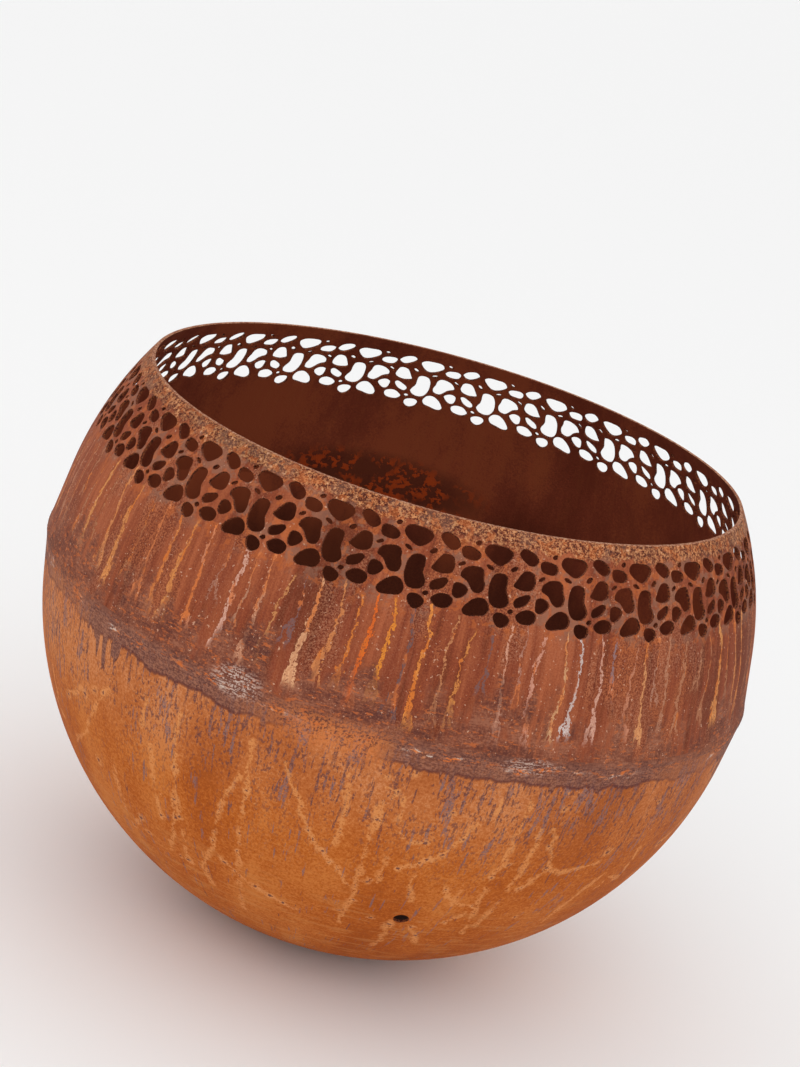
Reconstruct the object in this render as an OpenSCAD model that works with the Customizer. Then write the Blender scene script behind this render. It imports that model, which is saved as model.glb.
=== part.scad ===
// Globe fire pit: a pressed steel bowl, a band with cut-out pebbles welded on top of it,
// and a round grate that rests on lugs inside and lifts out through the mouth.
// Frame: +Z up along the globe's axis, origin at the middle of the base ring's underside.
// The seam between bowl and band lies on the globe's equator.
// Azimuths are in degrees from the front (-Y), positive towards +X.

/* [Globe] */
// Outer radius of the lower bowl
globe_r = 300; // [240:1:380]
// Thickness of the sheet steel of bowl and band
sheet_t = 2.5; // [2:0.1:4]
// How much smaller the band's radius is than the bowl's
band_sink = 1.3; // [0:0.1:3]
// How far both shells run out past the bowl's radius where they meet
seam_flare = 2.6; // [1:0.1:5]
// Height of the rim above the seam
rim_h = 161; // [130:1:195]

/* [Seam weld] */
// Height of the ground weld bead
bead_h = 7; // [4:0.5:10]
// How far the bead stands proud of the shells
bead_proud = 0.6; // [0.3:0.1:1.5]
// Depth of the groove that the bead fills
bead_depth = 1.6; // [0.8:0.1:1.8]

/* [Base] */
// Radius of the flat pressed into the bottom of the bowl
base_flat_r = 80; // [60:1:110]
// How far the ring welded under the flat lies inside the flat's edge
ring_inset = 4; // [1:0.5:20]
// Radial width of the ring
ring_w = 12; // [6:1:25]
// Height of the ring
ring_h = 5; // [4:0.5:12]

/* [Air holes] */
// Number of air holes round the bowl
vent_count = 4; // [3:1:8]
// Diameter of an air hole
vent_d = 12; // [8:0.5:20]
// Angle of the air holes below the seam
vent_dip = 34.3; // [28:0.1:45]
// Azimuth of the first air hole
vent_az = 15.9; // [0:0.1:45]

/* [Pebble band] */
// Number of times that the pebble pattern repeats round the band
repeats = 27; // [18:1:32]
// Azimuth of the lowest pebble of the first repeat
pattern_az = 2; // [-10:0.1:10]
// Solid strip between the rim and the top of the pattern
rim_strip = 12.7; // [8:0.1:25]
// Height of the pattern, from its highest to its lowest edge
pattern_h = 60.5; // [40:0.5:68]

/* [Grate] */
// Clearance all round between the grate's hoop and the mouth that it passes through
mouth_gap = 8.6; // [4:0.1:30]
// Thickness of the hoop's flat bar
hoop_t = 5; // [4:0.5:8]
// How far the hoop's top edge stands above the round bars
hoop_lip = 2; // [0:0.5:8]
// Depth of the hoop's underside below the seam
grate_drop = 140; // [110:1:160]
// Diameter of the grate's round bars
bar_d = 10; // [6:0.5:14]
// Number of round bars, an odd number so that one runs through the middle
bar_count = 15; // [9:2:19]
// Distance from the outermost bars' middles to the hoop's inner face
bar_edge = 25; // [15:0.5:35]
// Thickness of the two bearers under the bars
bearer_t = 5; // [4:0.5:8]
// Height of the two bearers
bearer_h = 10; // [8:1:16]
// Distance of each bearer from the middle
bearer_x = 110; // [60:1:140]

/* [Lifting handles] */
// Diameter of the handles' rod
handle_d = 8; // [6:0.5:10]
// Number of bars between a handle's legs, an odd number so that each leg stands in a gap
handle_bars = 3; // [1:2:5]
// Height of the grip's centre line above the hoop's top edge
handle_rise = 55; // [40:1:80]
// Bend radius of the handle's centre line
handle_bend = 18; // [10:1:25]

/* [Lugs] */
// Number of lugs that carry the grate
lug_count = 4; // [3:1:8]
// Width of a lug
lug_w = 30; // [20:1:45]
// Thickness of a lug
lug_t = 5; // [4:0.5:8]
// How far a lug reaches in under the hoop, past the hoop's inner face
lug_reach = 8; // [3:0.5:20]

/* [Hidden] */
// Fineness of round shapes, all of which are true circles
$fn = 96;
// Length by which a cutting tool runs past what it cuts
over = 10;

band_r = globe_r - band_sink;
seam_r = globe_r + seam_flare;
bowl_in_r = globe_r - sheet_t;
band_in_r = band_r - sheet_t;
base_z = -sqrt(globe_r * globe_r - base_flat_r * base_flat_r);
ring_r = base_flat_r - ring_inset;
seam_z = ring_h - base_z;
rim_lat = asin(rim_h / band_r);
mouth_in_r = sqrt(band_in_r * band_in_r - rim_h * rim_h);

// How far a skirt's end lies inside its sphere, so that the two cross cleanly
skirt_bite = 0.1;
// Latitudes at which the straight skirts leave their spheres
bowl_skirt_lat = acos(globe_r / seam_r);
band_skirt_lat = acos(band_r / seam_r);

// Lengths of the grate that follow from others are rounded to a tenth of a millimetre
function tenth(length) = round(length * 10) / 10;
hoop_r = tenth(mouth_in_r - mouth_gap);
hoop_in_r = hoop_r - hoop_t;
hoop_h = bearer_h + bar_d + hoop_lip;
bar_z = bearer_h + bar_d / 2;
bar_pitch = tenth(2 * (hoop_in_r - bar_edge) / (bar_count - 1));
handle_w = handle_bars * bar_pitch;
leg_x = sqrt(pow(hoop_in_r - handle_d / 2, 2) - pow(handle_w / 2, 2));
leg_foot = 2;

// One repeat of the pebble pattern, drawn flat and seen from outside.
// x is in degrees round the globe, from the middle of the lowest pebble, and one repeat is
// layout_pitch wide. y is in millimetres below the top of the pattern, which is layout_h high.
layout_pitch = 13.33;
layout_h = 60.5;
layout = [
    // shield under the rim
    [[-4.4, 6.1], [-3.8, 1.8], [-2.0, 1.2], [-0.3, 2.2], [0.45, 5.9],
     [-0.3, 10.7], [-1.0, 14.7], [-2.1, 15.4], [-3.1, 12.3], [-4.1, 9.5]],
    // leaning oval under the rim
    [[1.5, 3.3], [2.1, 0.2], [3.2, 0.5], [4.4, 3.5], [4.9, 7.6],
     [4.3, 11.1], [3.3, 11.6], [2.3, 8.2], [1.7, 5.9]],
    // chip under the rim
    [[7.25, 2.7], [7.75, 0.7], [8.15, 1.2], [8.0, 3.4], [7.55, 4.0]],
    // level oval
    [[5.35, 8.1], [5.8, 6.6], [6.8, 6.6], [8.0, 8.4], [8.45, 11.4],
     [8.0, 15.1], [6.9, 15.9], [5.8, 15.0], [5.35, 11.8]],
    // chips of the upper row
    [[0.35, 17.6], [0.6, 15.3], [1.1, 14.0], [1.45, 14.9], [1.2, 17.2], [0.7, 18.4]],
    [[5.2, 21.0], [5.6, 19.0], [6.05, 18.2], [6.2, 19.8], [5.7, 21.5], [5.3, 21.9]],
    [[-3.7, 17.2], [-3.2, 16.6], [-2.6, 18.0], [-2.45, 19.7], [-3.1, 19.6], [-3.5, 18.6]],
    // blunt pebble
    [[1.15, 28.3], [1.5, 24.8], [2.0, 20.8], [2.5, 17.2], [3.3, 15.9], [4.2, 17.2],
     [4.6, 21.8], [4.65, 25.8], [4.25, 28.9], [3.0, 30.6], [1.9, 30.0]],
    // comma
    [[5.9, 28.8], [6.0, 25.1], [6.6, 21.9], [7.8, 19.9], [8.9, 20.1], [9.4, 22.8], [9.55, 27.3],
     [9.9, 32.3], [9.65, 37.3], [8.5, 38.8], [7.8, 36.4], [7.15, 32.4], [6.6, 30.6]],
    // bean
    [[-2.7, 32.3], [-2.5, 26.3], [-1.95, 22.2], [-1.0, 21.0], [-0.1, 22.5], [0.1, 26.8],
     [0.1, 33.2], [0.6, 37.8], [0.8, 41.3], [0.25, 45.3], [-1.0, 46.8], [-2.0, 45.0],
     [-2.6, 39.3]],
    // leaf
    [[1.55, 41.3], [1.75, 38.0], [2.6, 35.3], [3.7, 33.2], [4.15, 34.6], [3.95, 38.3],
     [3.5, 41.1], [2.6, 43.4], [1.9, 43.7]],
    // round pebble
    [[5.1, 39.8], [5.25, 35.5], [6.0, 34.1], [6.9, 35.5], [7.45, 38.6], [6.9, 43.2],
     [6.0, 45.8], [5.3, 44.4]],
    // large oval
    [[7.2, 53.1], [7.6, 48.7], [8.5, 44.1], [9.5, 41.7], [10.6, 43.2], [11.2, 48.8],
     [10.8, 53.4], [9.5, 55.2], [8.2, 56.4], [7.5, 55.6]],
    // chip of the lower row
    [[0.8, 48.2], [1.05, 46.2], [1.5, 46.0], [1.65, 47.8], [1.3, 49.3]],
    // level oval of the lower row
    [[2.2, 50.5], [2.6, 47.5], [3.4, 45.1], [4.4, 44.6], [5.35, 46.8], [5.5, 50.1],
     [5.05, 53.8], [4.0, 55.2], [2.9, 54.4]],
    // lowest pebble
    [[-1.25, 53.8], [-1.0, 50.6], [-0.2, 49.7], [0.8, 51.0], [1.3, 53.7], [1.1, 57.9],
     [0.1, 60.5], [-0.8, 58.3]]
];

function mean(v) = [for (p = v) 1] * v / len(v);
function layout_lat(y) =
    rim_lat - (rim_strip + y * pattern_h / layout_h) / band_r * 180 / PI;
function layout_az(x) = x * 360 / repeats / layout_pitch;
// A pebble's outline in millimetres about its own middle, x east and y up
function pebble_outline(points) =
    let (
        middle = mean(points),
        mm_per_deg = band_r * cos(layout_lat(middle.y)) * PI / 180
    )
    [for (p = points) [
        layout_az(p.x - middle.x) * mm_per_deg,
        (middle.y - p.y) * pattern_h / layout_h
    ]];

// Places its children on the globe at an azimuth and latitude: x east, y up, z outwards
module on_globe(az, lat, r) {
    rotate([0, 0, az - 90])
        rotate([0, -lat, 0])
            translate([r, 0, 0])
                rotate([90, 0, 90])
                    children();
}

// Everything inside a shell's outline: a disc, and a skirt that leaves it near its tangent
// at a latitude and reaches seam_x on the seam; side is 1 for the band and -1 for the bowl
module shell_outline(r, lat, seam_x, side) {
    tip = [seam_x, 0];
    end = (r - skirt_bite) * [cos(lat), side * sin(lat)];
    circle(r = r);
    polygon(side > 0 ? [[0, 0], tip, end] : [[0, 0], end, tip]);
}

// Clips its children to a range of heights, right of the axis
module between(z_from, z_to) {
    intersection() {
        children();
        translate([0, z_from])
            square([2 * globe_r, z_to - z_from]);
    }
}

// Half cross-section of the bowl, its flat included
module bowl_section() {
    difference() {
        between(base_z, 0)
            shell_outline(globe_r, bowl_skirt_lat, seam_r, -1);
        between(base_z + sheet_t, over)
            shell_outline(bowl_in_r, bowl_skirt_lat, seam_r - sheet_t / cos(bowl_skirt_lat), -1);
        bead_profile();
    }
}

// Half cross-section of the band
module band_section() {
    difference() {
        between(0, rim_h)
            shell_outline(band_r, band_skirt_lat, seam_r, 1);
        between(-over, rim_h + over)
            shell_outline(band_in_r, band_skirt_lat, seam_r - sheet_t / cos(band_skirt_lat), 1);
        bead_profile();
    }
}

// Cross-section of the weld bead in its groove
module bead_profile() {
    polygon([
        [seam_r - bead_depth, 0],
        [seam_r, -bead_h / 2],
        [seam_r + bead_proud, -bead_h / 6],
        [seam_r + bead_proud, bead_h / 6],
        [seam_r, bead_h / 2]
    ]);
}

module lower_bowl() {
    color("#b5642a")
        translate([0, 0, seam_z])
            difference() {
                rotate_extrude()
                    bowl_section();
                for (i = [0:vent_count - 1])
                    on_globe(vent_az + i * 360 / vent_count, -vent_dip, globe_r - over)
                        cylinder(d = vent_d, h = 2 * over);
            }
}

module pebble_band() {
    color("#8a4a30")
        translate([0, 0, seam_z])
            difference() {
                rotate_extrude()
                    band_section();
                for (k = [0:repeats - 1], pebble = layout)
                    on_globe(
                        pattern_az + k * 360 / repeats + layout_az(mean(pebble).x),
                        layout_lat(mean(pebble).y),
                        band_r - over
                    )
                        linear_extrude(2 * over)
                            polygon(pebble_outline(pebble));
            }
}

module seam_weld() {
    color("#6e4434")
        translate([0, 0, seam_z])
            rotate_extrude()
                bead_profile();
}

module base_ring() {
    color("#7a4326")
        difference() {
            cylinder(r = ring_r, h = ring_h);
            translate([0, 0, -over])
                cylinder(r = ring_r - ring_w, h = ring_h + 2 * over);
        }
}

// A flat bar from the bowl's wall to under the hoop, its outer end cut to the wall
module grate_lug(i) {
    inner_x = hoop_in_r - lug_reach;
    color("#5a2c1c")
        translate([0, 0, seam_z])
            rotate([0, 0, vent_az + (i - 0.5) * 360 / lug_count - 90])
                intersection() {
                    translate([inner_x, -lug_w / 2, -grate_drop - lug_t])
                        cube([globe_r - inner_x, lug_w, lug_t]);
                    sphere(r = bowl_in_r);
                }
}

module at_grate() {
    translate([0, 0, seam_z - grate_drop])
        children();
}

module grate_hoop() {
    color("#3f2a24")
        at_grate()
            difference() {
                cylinder(r = hoop_r, h = hoop_h);
                translate([0, 0, -over])
                    cylinder(r = hoop_in_r, h = hoop_h + 2 * over);
            }
}

module grate_bearer(side) {
    color("#3f2a24")
        at_grate()
            intersection() {
                translate([side * bearer_x - bearer_t / 2, -hoop_r, 0])
                    cube([bearer_t, 2 * hoop_r, bearer_h]);
                cylinder(r = hoop_in_r, h = hoop_h);
            }
}

module grate_bar(i) {
    color("#4a3129")
        at_grate()
            intersection() {
                translate([-hoop_r, (i - (bar_count + 1) / 2) * bar_pitch, bar_z])
                    rotate([0, 90, 0])
                        cylinder(d = bar_d, h = 2 * hoop_r);
                cylinder(r = hoop_in_r, h = 2 * hoop_h);
            }
}

// A rod bent to a staple, standing inside the hoop
module grate_handle(side) {
    straight_w = handle_w - 2 * handle_bend;
    leg_h = hoop_h + handle_rise - handle_bend - leg_foot;
    color("#3f2a24")
        at_grate()
            translate([side * leg_x, 0, leg_foot]) {
                for (end = [-1, 1]) {
                    translate([0, end * handle_w / 2, 0])
                        cylinder(d = handle_d, h = leg_h);
                    translate([0, end * straight_w / 2, leg_h])
                        rotate([0, 0, end * 90])
                            rotate([90, 0, 0])
                                rotate_extrude(angle = 90)
                                    translate([handle_bend, 0])
                                        circle(d = handle_d);
                }
                translate([0, -straight_w / 2, leg_h + handle_bend])
                    rotate([-90, 0, 0])
                        cylinder(d = handle_d, h = straight_w);
            }
}

lower_bowl();
pebble_band();
seam_weld();
base_ring();
for (i = [1:lug_count])
    grate_lug(i);
grate_hoop();
grate_bearer(-1);  // grate_bearer_left
grate_bearer(1);  // grate_bearer_right
for (i = [1:bar_count])
    grate_bar(i);
grate_handle(-1);  // grate_handle_left
grate_handle(1);  // grate_handle_right
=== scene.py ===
import math

import bpy
import numpy as np
from mathutils import Matrix, Vector


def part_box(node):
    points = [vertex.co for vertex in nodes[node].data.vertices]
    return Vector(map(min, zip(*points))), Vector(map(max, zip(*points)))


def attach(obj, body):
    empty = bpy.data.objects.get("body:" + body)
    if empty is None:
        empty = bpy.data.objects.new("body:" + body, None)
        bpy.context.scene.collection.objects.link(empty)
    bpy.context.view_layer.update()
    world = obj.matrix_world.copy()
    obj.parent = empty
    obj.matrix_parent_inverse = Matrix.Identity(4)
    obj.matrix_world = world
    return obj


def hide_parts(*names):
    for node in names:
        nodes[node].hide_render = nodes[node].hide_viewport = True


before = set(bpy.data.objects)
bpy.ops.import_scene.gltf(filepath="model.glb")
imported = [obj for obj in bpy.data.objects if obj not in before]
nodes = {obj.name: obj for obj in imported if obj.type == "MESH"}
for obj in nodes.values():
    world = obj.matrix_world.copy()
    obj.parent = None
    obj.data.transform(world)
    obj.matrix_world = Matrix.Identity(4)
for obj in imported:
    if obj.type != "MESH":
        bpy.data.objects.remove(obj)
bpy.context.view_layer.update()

# ---- sizes, in metres
MM = 0.001
BEAD_PROUD = 0.6 * MM      # how far the seam's weld bead stands out of the shells
BEAD_DEPTH = 1.6 * MM      # how deep its groove is
EDGE = 0.35 * MM           # chamfer that rust leaves on a cut edge
FLARE = 0.5 * MM           # how far a cutter runs past the sheet
SEGMENTS = 720             # steps round the globe
TURNS = np.arange(SEGMENTS) * 2 * math.pi / SEGMENTS
ROW = 4 * MM               # height of a row of a shell's mesh
OUTLINE_STEPS = 3          # steps between two corners of a pebble's outline
CUT_WAVER = 0.1 * MM       # unevenness of a cut outline
SAME_POINT = 0.002 * MM    # CAD vertices nearer than this are one corner
ON_SPHERE = 0.02 * MM      # how near a CAD vertex on a sphere lies to it
LUG_W = 30 * MM            # width of a lug
RING_STITCHES = 6          # weld beads round the standing ring

rng = np.random.default_rng(7)


def node_vertices(node):
    mesh = nodes[node].data
    co = np.empty(len(mesh.vertices) * 3, np.float32)
    mesh.vertices.foreach_get("co", co)
    return co.reshape(-1, 3).astype(float)


band_lo, band_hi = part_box("pebble_band")
bowl_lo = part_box("lower_bowl")[0]
weld_lo, weld_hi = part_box("seam_weld")
CENTRE = np.array([0.0, 0.0, band_lo.z])
BEAD_H = weld_hi.z - weld_lo.z
SEAM_R = weld_hi.x - BEAD_PROUD
RIM_H = band_hi.z - CENTRE[2]
BASE_H = CENTRE[2] - bowl_lo.z


def round_part_radii(node, side):
    """Distances from the globe's centre of a shell's vertices well away from the seam."""
    p = node_vertices(node) - CENTRE
    return np.linalg.norm(p[side * p[:, 2] > 0.4 * RIM_H], axis=1)


BAND_R = round_part_radii("pebble_band", 1).max()
BAND_IN_R = round_part_radii("pebble_band", 1).min()
SHEET = BAND_R - BAND_IN_R
BOWL_R = round_part_radii("lower_bowl", -1).max()
VENTS = 4                  # air holes low in the bowl, and as many lugs, halfway between them
VENT_R = 6 * MM
VENT_DIP = math.radians(34.3)
VENT_TURN = math.radians(15.9)
RIM_H_ARC = math.asin(RIM_H / BAND_R) * BOWL_R / MM      # the rim's height in GlobeGraph.rise


# ---- camera
CAMERA_AWAY = 7.147        # distance to the globe's centre, in radii of the bowl
CAMERA_DIP = 18.76         # degrees that the camera looks down by
CAMERA_ROLL = 15.82        # degrees, the lean that the bowl has in the view
CAMERA_LENS = 85.4         # millimetres, on a sensor 36 mm high
CAMERA_SHIFT = 0.065       # puts the bowl a little below the middle of the frame


def photo_camera():
    distance = CAMERA_AWAY * BOWL_R
    dip = math.radians(CAMERA_DIP)
    roll = math.radians(CAMERA_ROLL)
    towards = Vector((0, -math.cos(dip), math.sin(dip)))
    right = Vector((1, 0, 0))
    up = Vector((0, math.sin(dip), math.cos(dip)))
    x = math.cos(roll) * right + math.sin(roll) * up
    y = math.cos(roll) * up - math.sin(roll) * right
    data = bpy.data.cameras.new("photo_camera")
    data.lens = CAMERA_LENS
    data.sensor_width = 36
    data.shift_y = CAMERA_SHIFT
    data.clip_end = 100
    camera = bpy.data.objects.new("photo_camera", data)
    place = Matrix.Translation(Vector(CENTRE.tolist()) + float(distance) * towards)
    camera.matrix_world = place @ Matrix((x, y, towards)).transposed().to_4x4()
    bpy.context.scene.collection.objects.link(camera)
    bpy.context.scene.camera = camera


photo_camera()


# ---- shader building
def srgb(code):
    """Linear colour of a hex code."""
    parts = [int(code[i:i + 2], 16) / 255 for i in (1, 3, 5)]
    return tuple(p / 12.92 if p <= 0.04045 else ((p + 0.055) / 1.055) ** 2.4 for p in parts) + (1,)


NOISE_SPREAD = 0.07        # a noise's usual distance from its middle, 0.5


class Graph:
    """A material under construction. Each method adds a node and returns its output."""

    def __init__(self, name):
        self.material = bpy.data.materials.new(name)
        self.material.use_nodes = True
        self.tree = self.material.node_tree
        self.tree.nodes.clear()

    def add(self, kind, inputs=(), **settings):
        node = self.tree.nodes.new(kind)
        for key, value in settings.items():
            setattr(node, key, value)
        for key, value in dict(inputs).items():
            if isinstance(value, bpy.types.NodeSocket):
                self.tree.links.new(value, node.inputs[key])
            else:
                node.inputs[key].default_value = value
        return node

    def math(self, operation, *values, clamp=False):
        inputs = dict(enumerate(values))
        return self.add("ShaderNodeMath", inputs, operation=operation, use_clamp=clamp).outputs[0]

    def fold(self, operation, values):
        result = values[0]
        for value in values[1:]:
            result = self.math(operation, result, value)
        return result

    def times(self, *values):
        return self.fold("MULTIPLY", values)

    def plus(self, *values):
        return self.fold("ADD", values)

    def minus(self, a, b):
        return self.math("SUBTRACT", a, b)

    def most(self, *values):
        return self.fold("MAXIMUM", values)

    def vector_math(self, operation, inputs):
        return self.add("ShaderNodeVectorMath", inputs, operation=operation).outputs

    def invert(self, value):
        return self.math("SUBTRACT", 1.0, value, clamp=True)

    def step(self, value, low, high):
        """0 below low, 1 above high and smooth between; high may lie below low."""
        inputs = {"Value": value, "From Min": low, "From Max": high}
        return self.add("ShaderNodeMapRange", inputs, interpolation_type="SMOOTHSTEP").outputs[0]

    def spread(self, value, low, high):
        """Maps 0..1 to low..high."""
        return self.add("ShaderNodeMapRange", {"Value": value, "To Min": low, "To Max": high}).outputs[0]

    def vector(self, x, y, z):
        return self.add("ShaderNodeCombineXYZ", {0: x, 1: y, 2: z}).outputs[0]

    def split(self, vector):
        return self.add("ShaderNodeSeparateXYZ", {0: vector}).outputs

    def noise(self, vector, size, detail=3.0, rough=0.55):
        """Noise whose blobs measure about size, in the vector's unit."""
        inputs = {"Vector": vector, "Scale": 1 / size, "Detail": detail, "Roughness": rough}
        return self.add("ShaderNodeTexNoise", inputs).outputs[0]

    def sway(self, noise, amount):
        """A noise turned into an offset of about amount either way."""
        return self.times(self.minus(noise, 0.5), amount / NOISE_SPREAD)

    def dots(self, vector, size, edge, core):
        """Round dots scattered about size apart: 0 outside edge, 1 within core."""
        cells = self.add("ShaderNodeTexVoronoi", {"Vector": vector, "Scale": 1 / size})
        return self.step(cells.outputs["Distance"], edge, core)

    def mix(self, share, below, above):
        node = self.add("ShaderNodeMix", data_type="RGBA")
        share_in, below_in, above_in, colour_out = 0, 6, 7, 2
        for key, value in ((share_in, share), (below_in, below), (above_in, above)):
            if isinstance(value, str):
                value = srgb(value)
            if isinstance(value, bpy.types.NodeSocket):
                self.tree.links.new(value, node.inputs[key])
            else:
                node.inputs[key].default_value = value
        return node.outputs[colour_out]

    def lay(self, colour, code, *shares):
        """Lays a hex code over a colour, by the product of the shares."""
        return self.mix(self.times(*shares), colour, code)

    def choose(self, value, *stops):
        """Colour ramp through (place, hex code) stops."""
        node = self.add("ShaderNodeValToRGB", {0: value})
        fill_ramp(node.color_ramp, [(place, srgb(code)) for place, code in stops])
        return node.outputs[0]

    def finish(self, colour, height, rough, depth=0.4 * MM):
        """Rust is matt; height is in 0..1 and depth is what 1 stands for, in metres."""
        bump = self.add("ShaderNodeBump", {"Height": height, "Distance": depth, "Strength": 1.0})
        shader = self.add("ShaderNodeBsdfPrincipled", {
            "Base Color": colour, "Roughness": rough, "Normal": bump.outputs[0]})
        shader.inputs["Specular IOR Level"].default_value = 0.12
        output = self.add("ShaderNodeOutputMaterial")
        self.tree.links.new(shader.outputs[0], output.inputs[0])
        return self.material


class GlobeGraph(Graph):
    """Adds the globe's own coordinates, in millimetres: turn and rise along the surface."""

    def __init__(self, name):
        super().__init__(name)
        local = self.add("ShaderNodeTexCoord").outputs["Object"]
        local = self.vector_math("SUBTRACT", {0: local, 1: tuple(CENTRE)})[0]
        self.place = self.vector_math("SCALE", {0: local, "Scale": 1 / MM})[0]
        x, y, z = self.split(self.place)
        self.across = self.math("SQRT", self.plus(self.times(x, x), self.times(y, y)))
        self.turn = self.math("ARCTAN2", x, self.times(y, -1.0))
        self.rise = self.times(self.math("ARCTAN2", z, self.across), BOWL_R / MM)
        self.round_x = self.times(self.math("SINE", self.turn), BOWL_R / MM)
        self.round_y = self.times(self.math("COSINE", self.turn), BOWL_R / MM)
        # the weathering is drawn for a third of the globe and taken round it three times
        third = 2 * math.pi / 3
        self.sector = self.math("ROUND", self.times(self.turn, 1 / third))
        self.folded = self.minus(self.turn, self.times(self.sector, third))

    def stretched(self, along, offset=0.0):
        """Coordinates in which noise is drawn out down the globe: along under 1 lengthens it."""
        return self.vector(self.round_x, self.round_y, self.plus(self.times(self.rise, along), offset))

    def banded(self, around, offset=0.0):
        """Coordinates in which noise is drawn out round the globe."""
        return self.vector(self.times(self.round_x, around), self.times(self.round_y, around),
                           self.plus(self.rise, offset))

    def around_only(self, offset=0.0):
        """Coordinates that don't change down the globe."""
        return self.vector(self.round_x, self.round_y, offset)

    def around(self, *stops):
        """A value that changes along a third of the globe, through (degrees, value) stops."""
        place = self.plus(self.times(self.folded, 180 / math.pi / 120), 0.5)
        node = self.add("ShaderNodeValToRGB", {0: place})
        fill_ramp(node.color_ramp, [(az / 120 + 0.5, (v, v, v, 1)) for az, v in stops])
        return node.outputs[0]

    def spot(self, azimuth, rise, half_width, half_height):
        """1 in the middle of an ellipse on the globe and 0 from its edge outwards."""
        x = self.times(self.minus(self.folded, math.radians(azimuth)), BOWL_R / MM / half_width)
        y = self.times(self.minus(self.rise, rise), 1 / half_height)
        return self.step(self.plus(self.times(x, x), self.times(y, y)), 1.0, 0.0)

    def drips(self, table):
        """Rust runs below the cut-outs, one for each (degrees, end, width, tint) in the table.

        Returns their mask, their tint and the distance from a run's middle in its widths."""
        table = sorted(table)
        spans = [-60.0] + [(p[0] + q[0]) / 2 for p, q in zip(table, table[1:])]
        sway = self.noise(self.stretched(0.6, 40.0), 50.0, 2.0)
        fine = self.noise(self.stretched(0.7, 90.0), 5.0, 3.0, 0.65)
        rough = self.noise(self.stretched(0.6, 140.0), 3.0, 3.0, 0.7)
        shift = self.plus(self.sway(sway, 1.8), self.sway(fine, 0.7))
        half = len(table) // 2
        results = []
        for chosen, starts in ((table[:half], spans[:half]), (table[half:], spans[half:])):
            low, high = starts[0], 60.0 if chosen[-1] is table[-1] else spans[half]
            degrees = self.times(self.folded, 180 / math.pi)
            place = self.times(self.minus(degrees, low), 1 / (high - low))
            facts = self.add("ShaderNodeValToRGB", {0: place})
            tints = self.add("ShaderNodeValToRGB", {0: place})
            at = [(t - low) / (high - low) for t in starts]
            fill_ramp(facts.color_ramp, [(t, ((d[0] - low) / (high - low), d[1] / 100, d[2] / 10, 1))
                                         for t, d in zip(at, chosen)], "CONSTANT")
            fill_ramp(tints.color_ramp, [(t, srgb(d[3])) for t, d in zip(at, chosen)], "CONSTANT")
            middle, end, width = self.add("ShaderNodeSeparateColor", {0: facts.outputs[0]}).outputs
            aside = self.times(self.minus(place, middle), math.radians(high - low) * BOWL_R / MM)
            aside = self.plus(aside, shift)
            end = self.times(end, 100.0)
            head = self.plus(101.0, self.sway(sway, 4.0))
            down = self.step(self.rise, head, end)
            width = self.times(width, 10.0 * 0.62, self.spread(down, 0.6, 1.2),
                               self.plus(1.0, self.sway(rough, 0.35)))
            # the last stretch forks
            split = self.math("MAXIMUM", self.times(self.minus(self.plus(end, 22.0), self.rise), 0.16), 0.0)
            away = self.math("ABSOLUTE", self.minus(self.math("ABSOLUTE", aside), split))
            share = self.math("DIVIDE", away, width)
            between = self.times(self.step(self.rise, self.plus(head, 2.0), self.plus(head, -3.0)),
                                 self.step(self.rise, self.plus(end, -4.0), self.plus(end, 7.0)))
            mask = self.times(self.step(share, 1.0, 0.7), between)
            inside = self.times(self.math("GREATER_THAN", place, 0.0), self.math("LESS_THAN", place, 1.0))
            results.append((self.times(mask, inside), tints.outputs[0], share, inside))
        (m1, t1, s1, _), (m2, t2, s2, second) = results
        return self.most(m1, m2), self.mix(second, t1, t2), self.mix_value(second, s1, s2)

    def mix_value(self, share, below, above):
        return self.plus(below, self.times(share, self.minus(above, below)))

    def wobbled(self, size, amount):
        """The place on a third of the globe, with edges drawn on it made uneven."""
        x = self.times(self.math("SINE", self.folded), self.across)
        y = self.times(self.math("COSINE", self.folded), self.across, -1.0)
        flat = self.vector(x, y, self.split(self.place)[2])
        inputs = {"Vector": self.place, "Scale": 1 / size, "Detail": 3.0, "Roughness": 0.6}
        wobble = self.add("ShaderNodeTexNoise", inputs).outputs[1]
        wobble = self.vector_math("SUBTRACT", {0: wobble, 1: (0.5, 0.5, 0.5)})[0]
        return self.vector_math("MULTIPLY_ADD", {0: wobble, 1: (amount,) * 3, 2: flat})[0]

    def near_lines(self, place, lines):
        """Distance to the nearest of some lines through (degrees, rise) points."""
        result = 1000.0
        for line in lines:
            points = [on_globe(*p) for p in line]
            for a, b in zip(points, points[1:]):
                along = b - a
                unit = along / along.length_squared
                share = self.vector_math("DOT_PRODUCT", {0: place, 1: tuple(unit)})["Value"]
                share = self.math("SUBTRACT", share, a.dot(unit), clamp=True)
                foot = self.vector_math("MULTIPLY_ADD", {0: share, 1: tuple(along), 2: tuple(a)})[0]
                result = self.math("MINIMUM", result, self.gap(place, foot))
        return result

    def near_points(self, place, spots):
        """Distance to the nearest of some (degrees, rise, radius) spots, in their radii."""
        result = 1000.0
        for azimuth, rise, radius in spots:
            away = self.gap(place, tuple(on_globe(azimuth, rise)))
            result = self.math("MINIMUM", result, self.times(away, 1 / radius))
        return result

    def gap(self, a, b):
        return self.vector_math("DISTANCE", {0: a, 1: b})["Value"]


def fill_ramp(ramp, stops, interpolation="LINEAR"):
    ramp.interpolation = interpolation
    while len(ramp.elements) < len(stops):
        ramp.elements.new(1.0)
    for element, (place, colour) in zip(ramp.elements, stops):
        element.position = max(place, 0.0)
        element.color = colour


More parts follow.
